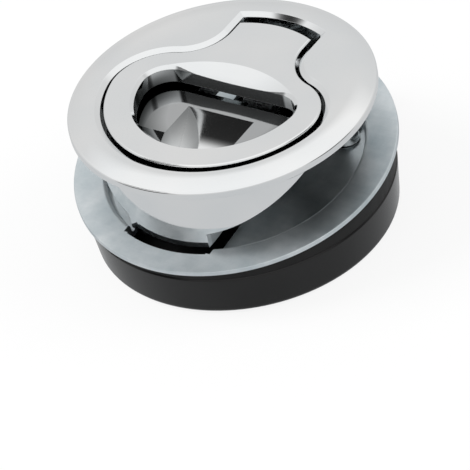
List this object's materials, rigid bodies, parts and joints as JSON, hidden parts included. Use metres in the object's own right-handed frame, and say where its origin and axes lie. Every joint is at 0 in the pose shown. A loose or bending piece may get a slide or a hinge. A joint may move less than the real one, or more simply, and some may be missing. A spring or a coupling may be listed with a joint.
{
  "type": "flush pull latch",
  "caption": "Round flush pull latch: lift ring in a chromed bezel, steel clamp plate behind the panel and a black case with a spring bolt.",
  "frame": {"origin": "centre of the flat back of the rear cover", "axes": "+Z out of the panel through the face of the bezel, +X the way the bolt points, +Y across the latch"},
  "size_m": [0.0737, 0.0688, 0.032],
  "materials": {
    "chrome": "polished chrome plate",
    "zinc_plate": "bluish zinc plated sheet, softly stained",
    "matte_black": "satin moulded plastic",
    "gloss_black": "glossy moulded plastic",
    "bolt_metal": "plated steel",
    "bright_steel": "bright steel",
    "spring_steel": "drawn spring wire"
  },
  "bodies": {
    "case": {"bezel": "chrome", "pivot_pin": "bright_steel", "pin_clip_left": "spring_steel", "pin_clip_right": "spring_steel", "ring_spring_left": "spring_steel", "ring_spring_right": "spring_steel", "clamp_plate": "zinc_plate", "bolt_carrier": "matte_black", "rear_cover": "gloss_black", "bolt_spring_left": "spring_steel", "bolt_spring_right": "spring_steel", "guide_plate": "zinc_plate", "guide_screw_left": "bright_steel", "guide_screw_right": "bright_steel", "clamp_screw_left": "bright_steel", "clamp_screw_right": "bright_steel", "clamp_washer_left": "bright_steel", "clamp_washer_right": "bright_steel", "cover_screw_1": "bright_steel", "cover_screw_2": "bright_steel", "cover_screw_3": "bright_steel"},
    "ring": {"pull_ring": "chrome"},
    "bolt": {"latch_bolt": "bolt_metal"}
  },
  "joints": [
    {"name": "ring_hinge", "type": "hinge", "parent": "case", "child": "ring", "pos_m": [0.018, 0, 0.0274], "axis": [0, 1, 0], "range_deg": [0, 38], "stiffness_Nm_per_rad": 0.03, "springref_deg": -17.19},
    {"name": "bolt_slide", "type": "slide", "parent": "case", "child": "bolt", "axis": [-1, 0, 0], "range_m": [0, 0.0072], "stiffness_N_per_m": 200, "springref_m": -0.006, "deforming": ["bolt_spring_left", "bolt_spring_right"]}
  ],
  "couplings": [
    {"joint": "ring_hinge", "follows": "bolt_slide", "rad_per_m": 92.1}
  ]
}
